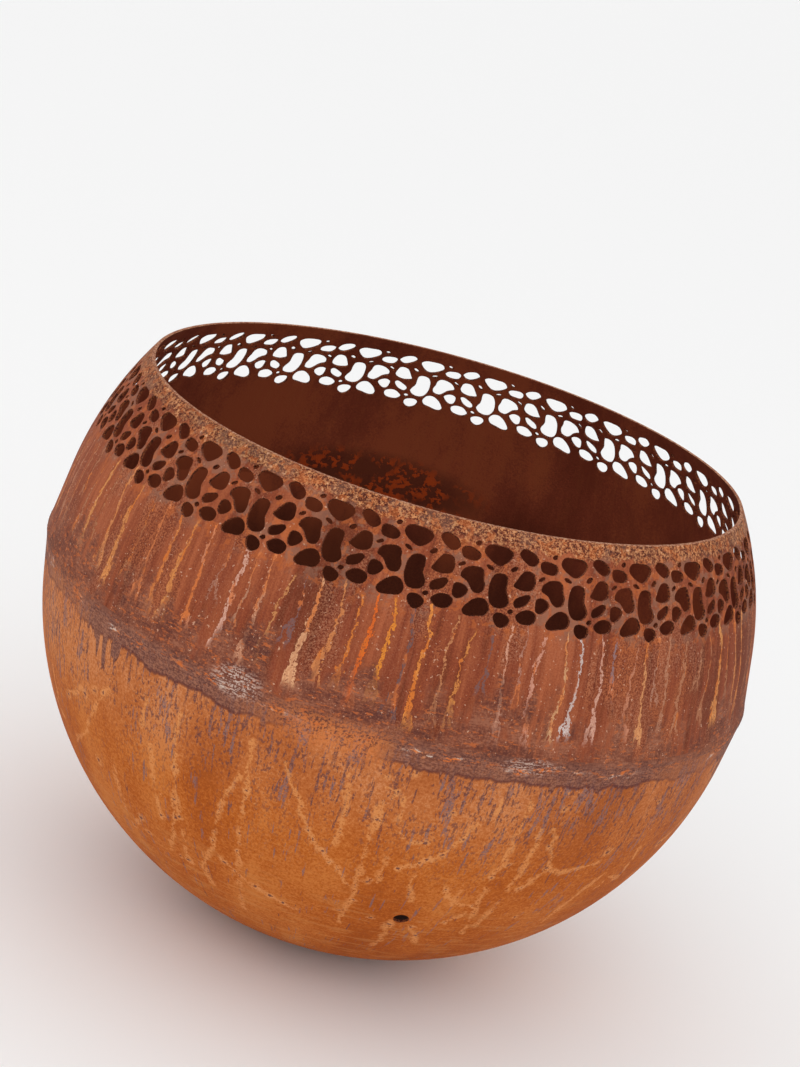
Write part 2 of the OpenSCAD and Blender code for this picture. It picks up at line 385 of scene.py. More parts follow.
def on_globe(azimuth, rise):
    """The point of the bowl at an azimuth in degrees and a rise along it in millimetres."""
    turn, lift = math.radians(azimuth), rise * MM / BOWL_R
    return Vector((math.cos(lift) * math.sin(turn), -math.cos(lift) * math.cos(turn), math.sin(lift))) \
        * (BOWL_R / MM)


# the runs below the cut-outs: azimuth, height of the end above the seam, width, tint
DRIPS = [
    (-58.5, 21, 4.4, "#e29a5a"), (-55.3, 34, 1.4, "#b07a58"), (-52.0, 22, 2.4, "#d98e58"),
    (-49.0, 17, 3.0, "#df9354"), (-45.0, 30, 1.3, "#a8704f"), (-41.5, 22, 2.2, "#d37c4c"),
    (-38.0, 18, 3.2, "#dc8548"), (-35.0, 16, 3.0, "#dd8f50"), (-31.0, 20, 2.8, "#d58a66"),
    (-27.6, 50, 1.2, "#a87a68"), (-25.0, 18, 3.2, "#e0b09c"), (-22.8, 30, 1.4, "#b98a70"),
    (-20.0, 14, 2.6, "#dca07e"), (-17.0, 18, 1.3, "#d2935c"), (-14.6, 40, 1.6, "#6a5a60"),
    (-12.0, 13, 4.0, "#e3ab80"), (-8.5, 20, 2.2, "#d68a54"), (-5.7, 20, 2.0, "#e08238"),
    (-3.2, 10, 3.4, "#ec6c20"), (-0.6, 20, 2.8, "#ee9434"), (2.4, 12, 3.2, "#565058"),
    (5.2, 8, 3.4, "#ec9444"), (8.9, 16, 1.5, "#c98a5e"), (11.3, 15, 1.8, "#dc8f4a"),
    (14.2, 45, 1.4, "#65565c"), (17.5, 10, 2.6, "#dca48a"), (20.2, 40, 1.2, "#b08070"),
    (22.7, 10, 2.6, "#d89c86"), (26.6, 16, 1.9, "#dcaa7c"), (28.9, 20, 2.0, "#d8cdc8"),
    (33.0, 18, 2.4, "#deac98"), (35.4, 52, 1.8, "#8b7a80"), (39.4, 20, 2.2, "#c9876a"),
    (42.2, 16, 2.8, "#de9c68"), (44.6, 46, 1.3, "#b98a74"), (47.0, 22, 2.4, "#b98468"),
    (51.0, 22, 2.4, "#b98060"), (54.4, 55, 2.0, "#b07a5c"), (57.6, 24, 2.4, "#b07858")]

# the pale lines on the bowl, each through points of azimuth and rise
LINES = [
    ((-27.6, -42), (-27.5, -92), (-26.6, -130), (-26.0, -197)),
    ((-27.2, -118), (-28.4, -165), (-30.8, -197)),
    ((-14.9, -40), (-14.6, -85), (-14.8, -160), (-14.9, -240)),
    ((-15.0, -62), (-16.8, -80), (-18.6, -108), (-19.9, -158), (-22.6, -192), (-21.5, -215)),
    ((-9.6, -48), (-6.6, -74), (-4.3, -98), (-1.5, -117), (0.6, -128)),
    ((-0.4, -40), (0.6, -66), (0.3, -106)),
    ((5.4, -55), (5.2, -120), (5.8, -158), (5.2, -205)),
    ((8.4, -48), (8.9, -136)),
    ((20.0, -60), (18.7, -76), (16.8, -94), (11.3, -116)),
    ((9.2, -78), (11.0, -87), (13.8, -84)),
    ((22.4, -34), (22.7, -150)),
    ((27.2, -34), (27.0, -98), (26.5, -115), (27.2, -145), (29.8, -196)),
    ((26.3, -160), (24.2, -178)),
    ((30.8, -58), (31.2, -110), (30.6, -182)),
    ((33.0, -58), (36.0, -101), (32.9, -124)),
    ((36.0, -101), (38.6, -105), (46.4, -98)),
    ((46.8, -182), (47.0, -155), (48.5, -130), (51.0, -116), (59.0, -133)),
    ((56.0, -92), (57.0, -118)),
    ((14.0, -118), (14.2, -131), (15.6, -153)),
    ((20.3, -128), (21.0, -141), (27.4, -152)),
    ((-32.3, -84), (-31.2, -140), (-30.7, -153)),
    ((-42.5, -60), (-46.0, -84), (-50.5, -121), (-56.0, -141)),
    ((-41.8, -128), (-41.6, -178)),
    ((-36.6, -172), (-39.0, -184)),
    ((-18.0, -168), (-15.8, -179), (-8.3, -196), (-2.0, -205)),
    ((1.8, -130), (4.6, -148)),
    ((14.7, -186), (15.0, -240)),
    ((18.5, -190), (20.9, -207), (22.2, -222)),
    ((-49.6, -78), (-56.0, -97)),
    ((-34.0, -48), (-34.6, -70))]

# the pits: azimuth, rise, radius
PITS = [
    (-46.0, -70, 1.9), (-49.0, -81, 1.8), (-55.8, -97, 2.0), (-47.0, -139, 2.2), (-30.7, -152, 1.6),
    (-27.4, -92, 1.5), (-27.6, -124, 1.3), (-26.4, -142, 1.5), (-27.6, -145, 1.5), (-19.4, -140, 1.4),
    (-19.9, -150, 1.5), (-18.8, -114, 1.2), (-17.3, -89, 1.2), (-14.7, -85, 1.4), (-14.7, -105, 1.1),
    (-14.8, -129, 1.2), (-14.8, -150, 1.2), (-36.8, -173, 2.2), (-36.3, -188, 2.0), (-40.8, -194, 1.8),
    (-28.2, -196, 1.6), (-26.2, -195, 1.5), (-11.5, -189, 2.4), (-8.4, -196, 1.6), (-6.0, -199, 1.8),
    (-15.9, -179, 1.5), (-17.7, -172, 1.5), (-4.3, -99, 1.6), (-3.0, -108, 1.6), (-1.4, -117, 1.8),
    (0.7, -127, 1.3), (5.4, -72, 1.6), (7.2, -137, 1.7), (6.2, -165, 1.4), (4.6, -186, 1.3),
    (10.3, -186, 1.6), (14.5, -192, 2.4), (18.6, -191, 1.6), (20.8, -207, 1.6), (13.6, -84, 1.5),
    (11.5, -86, 1.3), (18.8, -75, 1.7), (16.9, -94, 1.6), (15.0, -100, 1.4), (13.8, -107, 1.6),
    (11.3, -115, 1.3), (26.6, -112, 1.4), (28.2, -96, 1.5), (33.5, -76, 1.4), (35.6, -99, 1.4),
    (33.0, -124, 1.7), (33.2, -40, 1.5), (53.3, -40, 1.4), (46.9, -86, 2.0), (26.3, -149, 1.4),
    (20.5, -131, 1.4), (24.0, -178, 1.4), (37.7, -166, 1.5), (7.2, -44, 1.2), (8.8, -24, 1.6),
    (-43.5, -67, 1.4), (16.0, -52, 1.4), (5.0, -32, 1.3)]


def seam_zone(g, colour):
    """The heat-darkened, wire-brushed strip along the weld, laid over colour.

    Returns the new colour and the noise of its brush marks."""
    ragged = g.noise(g.stretched(0.4, 11.0), 30.0, 4.0, 0.6)
    grains = g.noise(g.place, 1.7, 3.0, 0.7)
    brushed = g.noise(g.banded(0.16), 1.2, 3.0, 0.65)
    broad = g.noise(g.banded(0.4, 40.0), 15.0, 4.0, 0.6)
    strip_shown = g.around((-60, 0.5), (-54, 0.3), (-48, 1.0), (-20, 1.0), (-12, 0.35), (-9, 0.0),
                           (2, 0.0), (6, 0.9), (45, 1.0), (52, 0.6), (60, 0.5))
    # dark scale above the weld, thinning out upwards and ending in grains below
    foot = g.plus(-7.0, g.sway(ragged, -5.0), g.sway(grains, 4.0))
    top = g.plus(24.0, g.sway(ragged, 14.0), g.sway(g.noise(g.stretched(0.2, 17.0), 7.0, 3.0), 6.0))
    zone = g.times(g.step(g.rise, g.plus(foot, -1.0), g.plus(foot, 2.0)),
                   g.step(g.rise, g.plus(top, 20.0), g.plus(top, -16.0)))
    dark = g.choose(g.plus(g.times(broad, 0.5), g.times(brushed, 0.25), g.times(grains, 0.25)),
                    (0.42, "#55302a"), (0.475, "#6a3c2f"), (0.525, "#7c4937"), (0.58, "#925d47"))
    dark = g.lay(dark, "#a0684e", g.step(grains, 0.53, 0.59), 0.35)
    result = g.mix(g.times(zone, 0.84), colour, dark)
    # orange grains where the strip dissolves
    fresh = g.times(g.invert(strip_shown), g.step(g.rise, -34.0, -16.0), g.step(g.rise, 8.0, -4.0),
                    g.step(g.noise(g.place, 2.0, 3.0, 0.7), 0.47, 0.53))
    result = g.lay(result, "#c87440", fresh, 0.75)
    # lilac-brown strip under the weld with a crisp, droopy lower edge
    fingers = g.noise(g.stretched(0.1, 3.0), 6.0, 2.0)
    low = g.plus(-18.5, g.sway(g.noise(g.stretched(0.3, 5.0), 30.0, 4.0), 1.6),
                 g.times(g.step(fingers, 0.57, 0.68), -6.0),
                 g.times(g.spot(-44.5, -24, 22, 60), g.step(fingers, 0.42, 0.58), -26.0))
    strip = g.times(strip_shown, g.step(g.rise, g.plus(low, -1.0), g.plus(low, 1.0)),
                    g.step(g.rise, 5.0, -5.0))
    lilac = g.mix(g.step(brushed, 0.4, 0.62), "#643c35", "#86594b")
    lilac = g.lay(lilac, "#a06b52", g.step(grains, 0.5, 0.57), 0.5)
    lilac = g.lay(lilac, "#52302b", g.step(grains, 0.47, 0.42), 0.6)
    result = g.mix(g.times(strip, 0.9), result, lilac)
    line = g.times(strip_shown, g.step(g.math("ABSOLUTE", g.minus(g.rise, low)), 2.4, 0.4))
    result = g.lay(result, "#572b29", line, 0.7)
    # a scoured patch, and flecks of fresh and pale rust along the weld
    scoured = g.times(g.most(g.spot(-19.5, 2, 26, 15), g.times(g.spot(25, -4, 30, 9), 0.8)),
                      g.step(brushed, 0.47, 0.54), g.step(grains, 0.43, 0.52))
    result = g.lay(result, "#cdb5a8", scoured, 0.85)
    flakes = g.noise(g.banded(0.4, 7.0), 2.6, 4.0, 0.7)
    middle = g.plus(g.rise, 6.0, g.sway(g.noise(g.banded(1.0, 77.0), 40.0, 2.0), 2.0))
    along = g.times(g.step(g.math("ABSOLUTE", middle), 4.5, 1.0), g.step(flakes, 0.51, 0.56),
                    g.step(g.noise(g.around_only(), 34.0, 2.0), 0.42, 0.56))
    fleck_tint = g.choose(g.noise(g.banded(0.5, 3.0), 9.0, 2.0), (0.44, "#d9702c"), (0.51, "#cf8458"),
                          (0.57, "#cdb8aa"))
    result = g.mix(g.times(along, 0.85), result, fleck_tint)
    scattered = g.times(g.step(flakes, 0.56, 0.61), zone)
    result = g.lay(result, "#bd6434", scattered, 0.65)
    return result, brushed


def band_rust():
    g = GlobeGraph("band_rust")
    broad = g.noise(g.stretched(0.25), 60.0, 4.0, 0.6)
    streaks = g.noise(g.stretched(0.05), 6.0, 4.0, 0.6)
    tone = g.around((-60, 0.6), (-45, 0.5), (-20, 0.68), (-8, 0.1), (4, 0.1), (14, 0.7), (40, 0.8), (60, 0.6))
    colour = g.choose(g.plus(g.times(broad, 0.6), g.times(streaks, 0.4), g.times(g.minus(tone, 0.5), 0.1)),
                      (0.41, "#6d321e"), (0.47, "#833e27"), (0.53, "#914a2e"), (0.59, "#a35838"))
    # grain: tan scale broken up by dark pores, all over the rim strip and in patches below
    grain = g.noise(g.place, 1.25, 3.0, 0.75)
    patches = g.step(g.noise(g.stretched(0.5, 60.0), 60.0, 3.0), 0.48, 0.56)
    strip_foot = RIM_H_ARC - 13.0
    strip = g.step(g.plus(g.rise, g.sway(g.noise(g.place, 9.0), 2.5)), strip_foot - 6.0, strip_foot + 3.0)
    amount = g.most(strip, g.times(patches, 0.55), 0.18)
    tan = g.mix(g.step(g.noise(g.stretched(0.4, 20.0), 45.0, 3.0), 0.44, 0.56), "#b46e46", "#a87458")
    tan = g.lay(tan, "#b08a52", g.spot(-35, RIM_H_ARC - 6, 60, 16), 0.7)
    tan = g.lay(tan, "#c98a58", strip, 0.55)
    colour = g.mix(g.times(g.step(grain, 0.5, 0.56), amount, 0.95), colour, tan)
    colour = g.lay(colour, "#4c2119", g.step(grain, 0.485, 0.44), amount, 0.95)
    coarse = g.noise(g.place, 2.6, 2.0, 0.7)
    colour = g.lay(colour, "#4a2019", strip, g.step(coarse, 0.47, 0.41), 0.8)
    colour = g.lay(colour, "#cf9160", strip, g.step(coarse, 0.54, 0.6), 0.7)
    burnt = g.times(strip, g.step(g.noise(g.place, 26.0, 3.0, 0.6), 0.51, 0.57),
                    g.around((-60, 0.6), (-40, 0.8), (-25, 0.4), (0, 0.25), (60, 0.6)))
    colour = g.lay(colour, "#4a2a26", burnt, 0.55)
    # grey-blue scale in the rim strip and the webs
    scale = g.times(g.step(g.noise(g.place, 22.0, 4.0, 0.65), 0.52, 0.58), g.step(g.rise, 85.0, 105.0))
    colour = g.mix(g.times(scale, g.spread(strip, 0.55, 0.3)), colour, "#84604f")
    # orange bloom round the cut-outs
    bloom = g.times(g.step(g.noise(g.place, 9.0, 4.0, 0.65), 0.53, 0.58), g.step(g.rise, 82.0, 98.0))
    colour = g.lay(colour, "#bb622f", bloom, 0.4)
    height = g.plus(g.times(grain, g.spread(amount, 0.3, 0.8)), g.times(streaks, 0.2))
    mask, tint, share = g.drips(DRIPS)
    speckle = g.noise(g.place, 2.0, 3.0, 0.7)
    body = g.times(mask, g.step(speckle, 0.37, 0.42))
    tint = g.lay(tint, "#a55a35", g.step(share, 0.5, 0.1), 0.35)
    tint = g.lay(tint, "#d9722a", g.step(g.noise(g.stretched(0.3, 66.0), 9.0, 3.0), 0.54, 0.6), 0.7)
    colour = g.mix(g.times(body, 0.95), colour, tint)
    halo = g.times(g.step(share, 3.2, 1.0), g.step(g.rise, 110.0, 90.0), g.step(g.rise, 10.0, 40.0))
    colour = g.lay(colour, "#7d4023", halo, 0.25)
    colour = seam_zone(g, colour)[0]
    chips = g.step(g.noise(g.place, 2.6, 2.0), 0.68, 0.71)
    colour = g.lay(colour, "#d8a98c", chips, 0.6)
    return g.finish(colour, height, g.spread(grain, 0.75, 0.95))


def bowl_rust():
    g = GlobeGraph("bowl_rust")
    broad = g.noise(g.stretched(0.5), 90.0, 4.0, 0.6)
    brushed = g.noise(g.banded(0.08, 5.0), 2.6, 4.0, 0.6)
    mottle = g.noise(g.place, 2.2, 3.0, 0.75)
    side = g.around((-60, 0.5), (-42, 0.85), (-12, 0.6), (10, 0.5), (36, 0.1), (60, 0.5))
    tone = g.plus(g.times(broad, 0.45), g.times(brushed, 0.1), g.times(mottle, 0.45),
                  g.times(g.minus(side, 0.5), 0.09))
    lower = g.choose(tone, (0.42, "#9a4a13"), (0.475, "#a95519"), (0.525, "#b35f22"), (0.58, "#c27233"))
    upper = g.choose(tone, (0.42, "#9f5426"), (0.475, "#ae6233"), (0.525, "#b76c3c"), (0.58, "#c57f52"))
    near_seam = g.step(g.rise, -120.0, -20.0)
    colour = g.mix(near_seam, lower, upper)
    # columns of dark specks under the seam, thinning out downwards, and fine pores
    columns = g.noise(g.stretched(0.14, 30.0), 3.6, 2.0, 0.6)
    clusters = g.noise(g.stretched(0.3, 70.0), 18.0, 2.0)
    limit = g.plus(0.64, g.times(near_seam, -0.1), g.times(g.minus(clusters, 0.5), -0.3))
    specks = g.step(g.noise(g.place, 1.3, 2.0, 0.6), 0.47, 0.53)
    dash = g.times(g.step(g.minus(columns, limit), 0.0, 0.03), g.spread(specks, 0.35, 1.0))
    colour = g.mix(g.times(dash, 0.85), colour, g.mix(g.step(clusters, 0.42, 0.58), "#5d3a3a", "#756063"))
    fine = g.times(g.step(g.noise(g.stretched(0.5, 25.0), 2.0, 2.0, 0.5), 0.565, 0.61),
                   g.step(clusters, 0.34, 0.5), g.step(g.rise, -170.0, -30.0))
    colour = g.lay(colour, "#6b4038", fine, 0.85)
    pore = g.times(g.dots(g.place, 4.2, 0.17, 0.09), g.step(clusters, 0.34, 0.5),
                   g.spread(near_seam, 0.25, 0.8))
    colour = g.mix(pore, colour, "#6f3a2c")
    # pale lines with pits strung along them
    place = g.wobbled(9.0, 11.0)
    away = g.near_lines(place, LINES)
    girth = g.plus(2.5, g.sway(g.noise(g.place, 16.0, 2.0), 0.7))
    share = g.math("DIVIDE", away, girth)
    vein = g.times(g.step(share, 1.45, 0.4), g.step(mottle, 0.36, 0.5))
    colour = g.lay(colour, "#d48b50", vein, 0.72)
    bead = g.times(g.step(share, 1.0, 0.5), g.dots(g.place, 5.0, 0.24, 0.12))
    colour = g.lay(colour, "#7a4030", bead, 0.6)
    pits = g.near_points(place, PITS)
    ring = g.times(g.step(pits, 3.2, 1.4), g.step(mottle, 0.4, 0.5))
    colour = g.lay(colour, "#d18c55", ring, 0.6)
    colour = g.lay(colour, "#5a3638", g.step(pits, 1.15, 0.6), 0.85)
    # pale wiped streaks low down, drawn out round the globe
    wiped = g.times(g.step(g.noise(g.banded(0.12, 50.0), 5.0, 3.0, 0.6), 0.53, 0.6),
                    g.step(g.rise, -120.0, -210.0))
    colour = g.lay(colour, "#c88a50", wiped, 0.3)
    height = g.plus(g.times(brushed, 0.1), g.times(mottle, 0.5))
    colour = seam_zone(g, colour)[0]
    return g.finish(colour, height, g.spread(mottle, 0.72, 0.92))


def inner_rust():
    g = GlobeGraph("inner_rust")
    broad = g.noise(g.stretched(0.5, 15.0), 80.0, 4.0, 0.6)
    grain = g.noise(g.place, 2.0, 3.0, 0.7)
    x, y = g.split(g.place)[:2]
    lighter = g.times(g.step(x, 30.0, -60.0), g.step(y, 0.0, 100.0), 0.07)
    colour = g.choose(g.plus(g.times(broad, 0.7), g.times(grain, 0.3), lighter),
                      (0.42, "#70301e"), (0.5, "#7d3824"), (0.58, "#904529"))
    streaks = g.step(g.noise(g.stretched(0.12, 70.0), 9.0, 3.0), 0.52, 0.62)
    colour = g.lay(colour, "#96502c", streaks, 0.1)
    soot = g.step(g.plus(g.rise, g.sway(broad, 12.0)), 20.0, -70.0)
    colour = g.lay(colour, "#38190f", soot, 0.7)
    ash = g.step(g.plus(g.rise, g.sway(g.noise(g.place, 30.0, 4.0), 14.0)), -110.0, -190.0)
    colour = g.lay(colour, "#3b3430", ash, 0.6)
    # scale that has flaked to fresh rust, at the height of the fire
    side = g.times(g.plus(x, 50.0), 1 / 120)
    lift = g.times(g.plus(g.rise, -14.0), 1 / 34)
    patch = g.times(g.step(g.plus(g.times(side, side), g.times(lift, lift)), 1.0, 0.2), g.step(y, 0.0, 50.0))
    zone = g.times(patch, g.step(g.noise(g.place, 30.0, 3.0), 0.4, 0.55))
    flakes = g.times(g.step(g.noise(g.place, 7.0, 3.0, 0.6), 0.5, 0.53), zone)
    colour = g.lay(colour, "#3a1a14", patch, 0.6)
    colour = g.lay(colour, "#b8481a", flakes, 0.85)
    height = g.plus(g.times(grain, 0.5), g.times(flakes, 0.5))
    return g.finish(colour, height, g.spread(grain, 0.8, 0.95))


def cut_edge():
    g = GlobeGraph("cut_edge")
    grain = g.noise(g.place, 1.2, 3.0, 0.7)
    colour = g.choose(grain, (0.43, "#3c1a12"), (0.5, "#5c2b1c"), (0.57, "#8a4a2a"))
    return g.finish(colour, grain, 0.85, 0.2 * MM)


def lip_edge():
    g = GlobeGraph("lip_edge")
    grain = g.noise(g.place, 1.6, 3.0, 0.7)
    colour = g.choose(grain, (0.43, "#7a432c"), (0.5, "#9a6145"), (0.57, "#b98a6c"))
    return g.finish(colour, grain, 0.8, 0.2 * MM)


def weld_rust():
    g = GlobeGraph("weld_rust")
    colour, brushed = seam_zone(g, g.mix(g.noise(g.place, 4.0), "#6b4034", "#84503c"))
    return g.finish(colour, g.plus(brushed, g.noise(g.place, 3.0)), 0.8)


def base_rust():
    g = GlobeGraph("base_rust")
    grain = g.noise(g.place, 2.5, 4.0, 0.7)
    broad = g.noise(g.place, 30.0, 3.0)
    colour = g.choose(g.plus(g.times(grain, 0.5), g.times(broad, 0.5)),
                      (0.43, "#4e2a1c"), (0.5, "#7a4526"), (0.57, "#965629"))
    return g.finish(colour, grain, 0.9)


def grate_iron():
    g = GlobeGraph("grate_iron")
    grain = g.noise(g.place, 1.8, 4.0, 0.7)
    broad = g.noise(g.place, 26.0, 4.0, 0.6)
    colour = g.choose(g.plus(g.times(grain, 0.35), g.times(broad, 0.65)),
                      (0.42, "#2b211e"), (0.48, "#3f2a22"), (0.53, "#5f3624"), (0.59, "#82492a"))
    ash = g.step(g.noise(g.place, 9.0, 4.0, 0.7), 0.54, 0.6)
    colour = g.lay(colour, "#8a7d74", ash, 0.45)
    return g.finish(colour, g.plus(grain, g.times(broad, 0.6)), g.spread(grain, 0.7, 0.95))


materials = {make.__name__: make() for make in
             (band_rust, bowl_rust, inner_rust, cut_edge, lip_edge, weld_rust, base_rust, grate_iron)}


# ---- meshes
def new_piece(name, points, faces, mats, indices=None, smooth=30):
    mesh = bpy.data.meshes.new(name)
    mesh.from_pydata([tuple(p) for p in points], [], faces)
    for m in mats:
        mesh.materials.append(materials[m])
    if indices is not None:
        mesh.polygons.foreach_set("material_index", indices)
    mesh.validate()
    shade(mesh, smooth)
    piece = bpy.data.objects.new(name, mesh)
    bpy.context.scene.collection.objects.link(piece)
    return piece


def shade(mesh, smooth=30):
    """Smooth shading, with edges sharper than so many degrees kept."""
    mesh.polygons.foreach_set("use_smooth", [True] * len(mesh.polygons))
    mesh.set_sharp_from_angle(angle=math.radians(smooth))


def round_globe(radius, turn, height):
    """Points at a distance from the globe's axis, a turn from its front and a height above its centre."""
    radius, turn, height = np.broadcast_arrays(radius, turn, height)
    return np.stack([radius * np.sin(turn), -radius * np.cos(turn), CENTRE[2] + height], -1)


def grid_faces(rows, closed):
    """Quads between neighbouring turns of a profile."""
    faces = []
    for i in range(SEGMENTS):
        j = (i + 1) % SEGMENTS
        for k in range(rows if closed else rows - 1):
            m = (k + 1) % rows
            faces.append((i * rows + k, j * rows + k, j * rows + m, i * rows + m))
    return faces


def arc_rows(radius, start, end):
    """Points along a sphere's profile between two latitudes."""
    count = max(2, int(abs(end - start) * radius / ROW))
    return [(radius * math.cos(a), radius * math.sin(a)) for a in np.linspace(start, end, count + 1)]


def line_rows(a, b):
    count = max(1, int(math.dist(a, b) / ROW))
    return [tuple(np.array(a) + (np.array(b) - np.array(a)) * i / count) for i in range(count + 1)]


def shell(radius, side, far, far_in):
    """A shell's outside from the weld's groove to its far end, its inside back, and the groove."""
    skirt = math.acos(radius / SEAM_R)
    inner = radius - SHEET
    inner_seam = SEAM_R - SHEET / math.cos(skirt)
    on_skirt = (SEAM_R - BEAD_H / 2 * math.tan(skirt), side * BEAD_H / 2)
    outer_tangent = (radius * math.cos(skirt), side * radius * math.sin(skirt))
    inner_tangent = (inner * math.cos(skirt), side * inner * math.sin(skirt))
    outside = line_rows(on_skirt, outer_tangent)[:-1] + arc_rows(radius, side * skirt, side * far)
    inside = arc_rows(inner, side * far_in, side * skirt)[:-1] + line_rows(inner_tangent, (inner_seam, 0.0))
    return outside, inside, (SEAM_R - BEAD_DEPTH, 0.0)


def band_shell():
    """The band's closed profile and the material of each stretch of it."""
    outside, inside, groove = shell(BAND_R, 1, math.asin((RIM_H - EDGE) / BAND_R),
                                    math.asin((RIM_H - EDGE) / BAND_IN_R))
    lip = [(outside[-1][0] - EDGE, RIM_H), (inside[0][0] + EDGE, RIM_H)]
    return outside + lip + inside + [groove], \
        [0] * (len(outside) - 1) + [3, 3, 3] + [1] * (len(inside) - 1) + [2, 2]


def bowl_shell():
    """The bowl's open profile from the flat's middle, outside first, back to it inside."""
    inner = BOWL_R - SHEET
    floor_r = math.sqrt(inner ** 2 - (BASE_H - SHEET) ** 2)
    outside, inside, groove = shell(BOWL_R, -1, math.asin(BASE_H / BOWL_R),
                                    math.asin((BASE_H - SHEET) / inner))
    middle = 2 * MM
    under = line_rows((middle, -BASE_H), (outside[-1][0], -BASE_H))
    above = line_rows((floor_r, SHEET - BASE_H), (middle, SHEET - BASE_H))
    profile = under[:-1] + outside[::-1] + [groove] + inside[::-1] + above[1:]
    return profile, [0] * (len(under) + len(outside) - 2) + [2, 2] + [1] * (len(inside) + len(above) - 2)


def turned(name, profile, kinds, mats, closed):
    rows = len(profile)
    radius, height = np.array(profile).T
    points = round_globe(radius, TURNS[:, None], height).reshape(-1, 3)
    faces = grid_faces(rows, closed)
    indices = kinds * SEGMENTS
    if not closed:
        faces += [tuple(i * rows for i in reversed(range(SEGMENTS))),
                  tuple(i * rows + rows - 1 for i in range(SEGMENTS))]
        indices = indices + [kinds[0], kinds[-1]]
    return new_piece(name, points, faces, mats, indices)


def outline_loops(node, radius):
    """The outlines of the holes through a CAD shell on its outer sphere, as loops of points."""
    mesh = nodes[node].data
    points = node_vertices(node)
    keys, where = np.unique(np.round(points / SAME_POINT).astype(np.int64), axis=0, return_inverse=True)
    merged = keys * SAME_POINT
    where = where.reshape(-1)
    distance = np.linalg.norm(merged - CENTRE, axis=1)
    on_outside = (np.abs(distance - radius) < ON_SPHERE) & (merged[:, 2] < CENTRE[2] + RIM_H - EDGE)
    links = {}
    for polygon in mesh.polygons:
        normal = np.array(polygon.normal)
        corners = [where[v] for v in polygon.vertices]
        middle = merged[corners].mean(0) - CENTRE
        faces_out = abs(normal @ middle) > 0.5 * np.linalg.norm(middle)
        if faces_out or middle[2] < 0.3 * RIM_H:
            continue
        for a, b in zip(corners, corners[1:] + corners[:1]):
            if on_outside[a] and on_outside[b] and a != b:
                links.setdefault(a, set()).add(b)
                links.setdefault(b, set()).add(a)
    loops, seen = [], set()
    for start in sorted(links):
        if start in seen:
            continue
        loop = [start]
        seen.add(start)
        while True:
            onward = [n for n in sorted(links[loop[-1]]) if n not in seen]
            if not onward:
                break
            loop.append(onward[0])
            seen.add(onward[0])
        loops.append(merged[loop] - CENTRE)
    return loops


def without_straights(loop):
    """Drops the points that lie on a straight stretch."""
    before = loop - np.roll(loop, 1, 0)
    after = np.roll(loop, -1, 0) - loop
    cosine = (before * after).sum(1) / np.linalg.norm(before, axis=1) / np.linalg.norm(after, axis=1)
    return loop[cosine < math.cos(math.radians(4))]


def between(a, b, start, end, place):
    return ((end - place) * a + (place - start) * b) / (end - start)


def rounded(loop, steps):
    """A smooth closed curve through the loop's points (centripetal Catmull-Rom)."""
    count = len(loop)
    curve = []
    for i in range(count):
        p = [loop[(i + k) % count] for k in (-1, 0, 1, 2)]
        t = [0.0]
        for corner, following in zip(p, p[1:]):
            t.append(t[-1] + math.sqrt(np.linalg.norm(following - corner)))
        for u in np.linspace(t[1], t[2], steps, endpoint=False):
            a = [between(p[i], p[i + 1], t[i], t[i + 1], u) for i in range(3)]
            b = [between(a[i], a[i + 1], t[i], t[i + 2], u) for i in range(2)]
            curve.append(between(b[0], b[1], t[1], t[2], u))
    return np.array(curve)


def cutter(loops, outer, inner):
    """Points and faces of plugs that cut the loops through a sheet, with chamfered edges."""
    levels = ((outer + FLARE, EDGE + FLARE), (outer - EDGE, 0.0), (inner + EDGE, 0.0),
              (inner - FLARE, EDGE + FLARE))
    points, faces = [], []
    for loop in loops:
        unit = loop / np.linalg.norm(loop, axis=1)[:, None]
        middle = unit.mean(0)
        tangent = np.roll(unit, -1, 0) - np.roll(unit, 1, 0)
        if (np.cross(unit - middle, tangent) @ middle).sum() < 0:
            unit = unit[::-1]
            tangent = np.roll(unit, -1, 0) - np.roll(unit, 1, 0)
        outward = np.cross(tangent, unit)
        outward /= np.linalg.norm(outward, axis=1)[:, None]
        count = len(unit)
        base = len(points)
        for radius, offset in levels:
            points.extend(CENTRE + radius * unit + offset * outward)
        for level in range(len(levels) - 1):
            for i in range(count):
                j = (i + 1) % count
                low, high = base + level * count, base + (level + 1) * count
                faces.append((low + j, low + i, high + i, high + j))
        faces.append(tuple(base + i for i in range(count)))
        faces.append(tuple(base + (len(levels) - 1) * count + i for i in reversed(range(count))))
    return points, faces


def cut(piece, tool):
    """Takes tool away from piece and leaves piece with its final mesh."""
    modifier = piece.modifiers.new("cut", "BOOLEAN")
    modifier.object = tool
    modifier.operation = "DIFFERENCE"
    modifier.solver = "MANIFOLD"
    modifier.material_mode = "INDEX"
    evaluated = piece.evaluated_get(bpy.context.evaluated_depsgraph_get())
    mesh = bpy.data.meshes.new_from_object(evaluated)
    piece.modifiers.clear()
    old = piece.data
    piece.data = mesh
    mesh.name = piece.name
    bpy.data.meshes.remove(old)
    bpy.data.objects.remove(tool)
    shade(mesh)


def wavered(loop):
    """Moves a cut outline's points in and out a little, as a cut through rusty sheet has."""
    middle = loop.mean(0)
    shift = rng.normal(0, CUT_WAVER, len(loop))
    shift = (shift + np.roll(shift, 1) + np.roll(shift, -1)) / 2
    out = loop - middle
    return loop + out / np.linalg.norm(out, axis=1)[:, None] * shift[:, None]


SHEET_MATERIALS = {"pebble_band": ("band_rust", "inner_rust", "cut_edge", "lip_edge"),
                   "lower_bowl": ("bowl_rust", "inner_rust", "cut_edge", "lip_edge")}


def hand_in(piece, node):
    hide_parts(node)
    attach(piece, "bowl")


